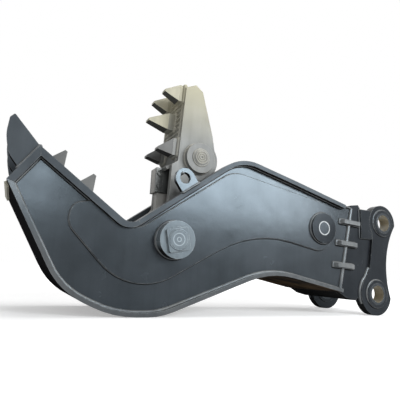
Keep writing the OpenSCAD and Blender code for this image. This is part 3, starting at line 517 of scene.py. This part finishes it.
# Beads laid across the face of the upper jaw, two in each row: the ends of the one right of the
# middle, the steps from it to both, and the first row and the row spacing as shares of the face
HARDFACING_INNER = Vector((0, 6, 0)) * MM
HARDFACING_OUTER = Vector((0, 98, 0)) * MM
HARDFACING_SHIFTS = (Vector((0, -104, 0)) * MM, Vector())
HARDFACING_ROWS = 13
HARDFACING_FIRST = 0.14
HARDFACING_PITCH = 0.066


def edge_length(mesh, edge):
    start, end = (mesh.vertices[i].co for i in edge.vertices)
    return (end - start).length


def as_curve(path):
    """A chain of edges turned into a curve."""
    choose(path)
    bpy.ops.object.convert(target="CURVE")
    return bpy.context.object


def rims(node, direction, level=None, keep=None):
    """Paths round the faces of a CAD node that face a direction, at a level along it if given, and
    only where keep is true."""
    def wanted(face):
        at_level = level is None or abs(face.center.dot(direction) - level) < MM
        return face.normal.dot(direction) > 0.99 and at_level

    shell = NODES[node].copy()
    shell.data = shell.data.copy()
    bpy.context.collection.objects.link(shell)
    shell.parent = None
    pick(shell, "VERT", lambda v: True)
    bpy.ops.mesh.remove_doubles(threshold=SAME_CORNER)
    pick(shell, "FACE", lambda f: not wanted(f))
    bpy.ops.mesh.delete(type="FACE")
    bpy.ops.mesh.select_mode(type="EDGE")
    bpy.ops.mesh.select_all(action="SELECT")
    bpy.ops.mesh.region_to_loop()
    bpy.ops.mesh.select_all(action="INVERT")
    bpy.ops.mesh.delete(type="EDGE_FACE")
    bpy.ops.mesh.select_all(action="SELECT")
    bpy.ops.mesh.delete(type="ONLY_FACE")
    if keep:
        pick(shell, "VERT", lambda v: not keep(v.co))
        bpy.ops.mesh.delete(type="VERT")
    bpy.ops.mesh.select_mode(type="VERT")
    bpy.ops.mesh.select_all(action="SELECT")
    bpy.ops.mesh.delete_loose(use_verts=True, use_edges=False, use_faces=False)
    while pick(shell, "EDGE", lambda e: edge_length(shell.data, e) > 2 * RIPPLE):
        bpy.ops.mesh.subdivide(number_cuts=1)
    bpy.ops.mesh.select_all(action="SELECT")
    bpy.ops.mesh.separate(type="LOOSE")
    chains = bpy.context.selected_objects[:]
    bpy.ops.object.mode_set(mode="OBJECT")
    return [as_curve(chain) for chain in chains]


def ring_path(at, y, radius):
    """A round path about an axis along the pins."""
    deselect_all()
    bpy.ops.mesh.primitive_circle_add(
        vertices=RING_SIDES, radius=radius, location=(at.x, y, at.z), rotation=(math.pi / 2, 0, 0))
    settle(bpy.context.object)
    return as_curve(bpy.context.object)


def straight_path(start, end):
    """A straight path, drawn from one point by extruding it."""
    deselect_all()
    bpy.ops.mesh.primitive_plane_add(size=MM, location=start)
    path = bpy.context.object
    settle(path)
    bpy.ops.object.mode_set(mode="EDIT")
    bpy.ops.mesh.select_all(action="SELECT")
    bpy.ops.mesh.merge(type="CENTER")
    steps = max(2, round((end - start).length / (2 * RIPPLE)))
    for _ in range(steps):
        bpy.ops.mesh.extrude_vertices_move(TRANSFORM_OT_translate={"value": (end - start) / steps})
    bpy.ops.object.mode_set(mode="OBJECT")
    return as_curve(path)


def spans(mesh, edge):
    """How far an edge reaches along a bead that runs in x."""
    start, end = (mesh.vertices[i].co for i in edge.vertices)
    return abs(end.x - start.x)


def bead(path, radius):
    """A rippled weld bead along a path, which it uses up."""
    length = path.data.splines[0].calc_length()
    closed = path.data.splines[0].use_cyclic_u
    count = max(2, round(length / RIPPLE))
    pitch = length / count
    deselect_all()
    bpy.ops.mesh.primitive_cylinder_add(
        vertices=RIPPLE_SIDES, radius=RIPPLE_NECK * radius, depth=pitch, end_fill_type="NOTHING",
        location=(pitch / 2, 0, 0), rotation=(0, math.pi / 2, 0))
    ripple = bpy.context.object
    settle(ripple)
    pick(ripple, "EDGE", lambda e: spans(ripple.data, e) > 0.99 * pitch)
    bpy.ops.mesh.subdivide(number_cuts=1)
    pick(ripple, "VERT", lambda v: 0.2 * pitch < v.co.x < 0.8 * pitch)
    bpy.ops.transform.resize(value=(1, RIPPLE_CREST, RIPPLE_CREST), center_override=(pitch / 2, 0, 0))
    bpy.ops.object.mode_set(mode="OBJECT")
    array = ripple.modifiers.new("ripples", "ARRAY")
    array.count = count
    array.use_relative_offset = False
    array.use_constant_offset = True
    array.constant_offset_displace = (pitch, 0, 0)
    array.use_merge_vertices = True
    array.merge_threshold = SAME_RIPPLE_CORNER
    bend = ripple.modifiers.new("along", "CURVE")
    bend.object = path
    bend.deform_axis = "POS_X"
    for modifier in (array.name, bend.name):
        choose(ripple)
        bpy.ops.object.modifier_apply(modifier=modifier)
    pick(ripple, "VERT", lambda v: True)
    if closed:
        bpy.ops.mesh.remove_doubles(threshold=0.25 * pitch)
    else:
        bpy.ops.mesh.fill_holes(sides=0)
    bpy.ops.mesh.normals_make_consistent(inside=False)
    bpy.ops.object.mode_set(mode="OBJECT")
    bpy.ops.object.shade_smooth()
    bpy.data.objects.remove(path)
    return ripple


def copies(piece, steps):
    """The piece copied to each step from its own place, and then removed."""
    made = []
    for step in steps:
        choose(piece)
        bpy.ops.object.duplicate()
        bpy.ops.transform.translate(value=step)
        bpy.ops.object.transform_apply(location=True, rotation=False, scale=False)
        made.append(bpy.context.object)
    bpy.data.objects.remove(piece)
    return made


def beads(paths, radius):
    return [bead(path, radius) for path in paths]


def body_weld(name, made, finish=WELD_PAINT_AND_HIGHLIGHT):
    join(name, made, "fixed_jaw", finish)


def jaw_weld(name, made):
    join(name, made, "moving_jaw", JAW_WELD_AND_HIGHLIGHT)


def moved(paths, step):
    """Paths shifted by a step, each to its new place for good."""
    for path in paths:
        choose(path)
        bpy.ops.transform.translate(value=step)
        bpy.ops.object.transform_apply(location=True, rotation=False, scale=False)
    return paths


def on_cheek(at):
    """Whether a place of an ear's outline lies on the bracket's cheek."""
    return at.x < EAR_WELD_REAR_X and at.z > EAR_WELD_LOW_Z


def seats(node):
    """Paths round the faces with which a node's parts on both sides sit on the side plates."""
    return rims(node, Vector((0, 1, 0)), -SIDE_Y) + rims(node, Vector((0, -1, 0)), -SIDE_Y)


for side, sign in (("left", -1), ("right", 1)):
    outward = Vector((0, sign, 0))
    side_plane = outward * SIDE_Y
    face_plane = outward * FACE_WELD_Y
    doubler_y = sign * DOUBLER_Y

    doubler_rim = moved(rims(side + "_doubler", outward, DOUBLER_Y), side_plane - outward * DOUBLER_Y)
    body_weld(side + "_doubler_weld", beads(doubler_rim, THIN))
    body_weld(side + "_side_plate_weld", beads(rims(side + "_side_plate", outward, SIDE_Y), MEDIUM))
    seam = [straight_path(SEAM_TOP + side_plane, SEAM_LOW + side_plane)]
    body_weld(side + "_seam_weld", beads(seam, HEAVY))
    ear_rim = moved(rims(side + "_ear", outward, EAR_Y, on_cheek), side_plane - outward * EAR_Y)
    body_weld(side + "_ear_weld", beads(ear_rim, FULL))
    body_weld(side + "_boss_weld", beads([ring_path(MAIN_PIVOT, doubler_y, PIVOT_BOSS_R)], MEDIUM))
    body_weld(side + "_base_cap_weld", beads([ring_path(BASE_PIVOT, doubler_y, BASE_CAP_R)], MEDIUM))
    ear_rings = [ring_path(at, sign * EAR_Y, EAR_RING_R) for at in (STICK_PIVOT, LINK_PIVOT)]
    body_weld(side + "_ring_welds", beads(ear_rings, THIN))
    jaw_weld(side + "_rod_boss_weld", beads([ring_path(ROD_PIVOT, sign * CHEEK_Y, ROD_BOSS_R)], LIGHT))
    face_edge = [straight_path(FACE_LOW + face_plane, FACE_HIGH + face_plane)]
    jaw_weld(side + "_face_weld", beads(face_edge, THIN))
    keeper_rings = [ring_path(ROD_PIVOT, sign * ROD_KEEPER_SEAT_Y, ROD_KEEPER_R)]
    for radius in ROD_KEEPER_FACE_RINGS:
        keeper_rings.append(ring_path(ROD_PIVOT, sign * ROD_KEEPER_FACE_Y, radius))
    jaw_weld(side + "_keeper_weld", beads(keeper_rings, THIN))
    pin_ring = [ring_path(MAIN_PIVOT, sign * PIN_END_Y, PIN_END_R)]
    body_weld(side + "_pin_end_weld", beads(pin_ring, THIN), BOSS_AND_SHEEN_PAINT)

body_weld("gusset_welds", beads(seats("seam_gussets"), FULL))
body_weld("pad_welds", beads(seats("neck_pads"), FINE))
fang_rims = [path for side in ("left", "middle", "right") for path in rims(side + "_fang", -FRONT_OUT)]
body_weld("fang_welds", beads(fang_rims, FULL))
body_weld("lug_weld", beads(rims("lifting_lug", -SLOPE_OUT), LIGHT))
body_weld("fixed_blade_welds", beads(rims("fixed_blades", -DECK_OUT), THIN))
deck_tooth_rims = rims("deck_side_teeth", -DECK_OUT) + rims("deck_center_tooth", -DECK_OUT)
body_weld("deck_tooth_welds", beads(deck_tooth_rims, MEDIUM))
jaw_weld("tooth_base_welds", beads(rims("tooth_bases", -FACE_OUT), HEAVY))
short_bead = bead(straight_path(FACE_LOW + HARDFACING_INNER, FACE_LOW + HARDFACING_OUTER), THIN)
jaw_weld("hardfacing_beads", copies(short_bead, [
    (FACE_HIGH - FACE_LOW) * (HARDFACING_FIRST + HARDFACING_PITCH * row) + shift
    for row in range(HARDFACING_ROWS) for shift in HARDFACING_SHIFTS]))


# Stage

# Camera fitted to the photo, in the shared frame
CAMERA_AT = Vector((-2075.2, -1904.6, -352.0)) * MM
CAMERA_RIGHT = Vector((0.89766, -0.43801, 0.04849))
CAMERA_UP = Vector((-0.12279, -0.14293, 0.98209))
CAMERA_FORWARD = Vector((0.42323, 0.88754, 0.18208))
CAMERA_LENS = 34.65
CAMERA_SENSOR = 36.0
CAMERA_REACH = 300

GROUND = cad_box[0].z

# Floor, which goes from its tone and a dim glow near the part to white between two distances
FLOOR_SIZE = 200
FLOOR_TONE = 0.75
FLOOR_ROUGHNESS = 0.9
FLOOR_FADE = (1.3, 3.6)
FLOOR_GLOW = (0.4, 1.0)

# Lamps: name, place, what it points at, width and height, watts, colour
FILL_LIGHT = 0.32
COOL = (0.95, 0.98, 1.0)
LAMPS = (
    ("key", (1.05, -3.6, 1.25), (1.05, 0, 1.25), (3.0, 1.5), 205, COOL),
    ("front", (-1.95, -3.6, 0.75), (-1.95, 0, 0.75), (0.7, 0.8), 18, COOL),
    ("top", (-1.0, 0, 4.0), (-1.0, 0, 0), (4.0, 3.0), 120, WHITE),
)


def area_lamp(name, at, towards, size, power, colour):
    deselect_all()
    bpy.ops.object.light_add(type="AREA", location=at)
    lamp = bpy.context.object
    lamp.name = name
    lamp.data.shape = "RECTANGLE"
    lamp.data.size, lamp.data.size_y = size
    lamp.data.energy = power
    lamp.data.color = colour
    lamp.rotation_euler = (Vector(towards) - Vector(at)).to_track_quat("-Z", "Y").to_euler()


def make_floor():
    """A pale floor that fades to white away from the part, for the camera only."""
    deselect_all()
    bpy.ops.mesh.primitive_plane_add(size=FLOOR_SIZE, location=(0, 0, GROUND))
    floor = bpy.context.object
    floor.name = "floor"
    material, tree, shader = new_material("pale floor")
    shader.inputs["Base Color"].default_value = (FLOOR_TONE, FLOOR_TONE, FLOOR_TONE, 1)
    shader.inputs["Roughness"].default_value = FLOOR_ROUGHNESS
    shader.inputs["Emission Color"].default_value = (*WHITE, 1)
    rays = put(tree, "ShaderNodeLightPath")
    away = distance_from(tree, middle("belly_plate"), keep=(1, 1, 0))
    glow = span(tree, away, *FLOOR_FADE, *FLOOR_GLOW)
    glow = math_node(tree, "MULTIPLY", rays.outputs["Is Camera Ray"], glow)
    link(tree, glow, shader.inputs["Emission Strength"])
    floor.data.materials.append(material)


def make_world():
    """White where it is seen or mirrored, and a dimmer fill light elsewhere."""
    world = bpy.data.worlds.new("studio")
    bpy.context.scene.world = world
    world.use_nodes = True
    tree = world.node_tree
    background = tree.nodes["Background"]
    rays = put(tree, "ShaderNodeLightPath")
    seen = math_node(tree, "ADD", rays.outputs["Is Camera Ray"], rays.outputs["Is Glossy Ray"])
    seen = math_node(tree, "ADD", seen, rays.outputs["Is Transmission Ray"])
    background.inputs["Color"].default_value = (*WHITE, 1)
    link(tree, span(tree, seen, 0.0, 1.0, FILL_LIGHT, 1.0), background.inputs["Strength"])


def make_camera():
    deselect_all()
    bpy.ops.object.camera_add()
    camera = bpy.context.object
    columns = Matrix((CAMERA_RIGHT, CAMERA_UP, -CAMERA_FORWARD)).transposed()
    camera.matrix_world = Matrix.Translation(CAMERA_AT) @ columns.to_4x4()
    camera.data.lens = CAMERA_LENS
    camera.data.sensor_width = CAMERA_SENSOR
    camera.data.clip_end = CAMERA_REACH
    bpy.context.scene.camera = camera


make_camera()
make_floor()
make_world()
for lamp in LAMPS:
    area_lamp(*lamp)
bpy.context.scene.view_settings.view_transform = "Standard"
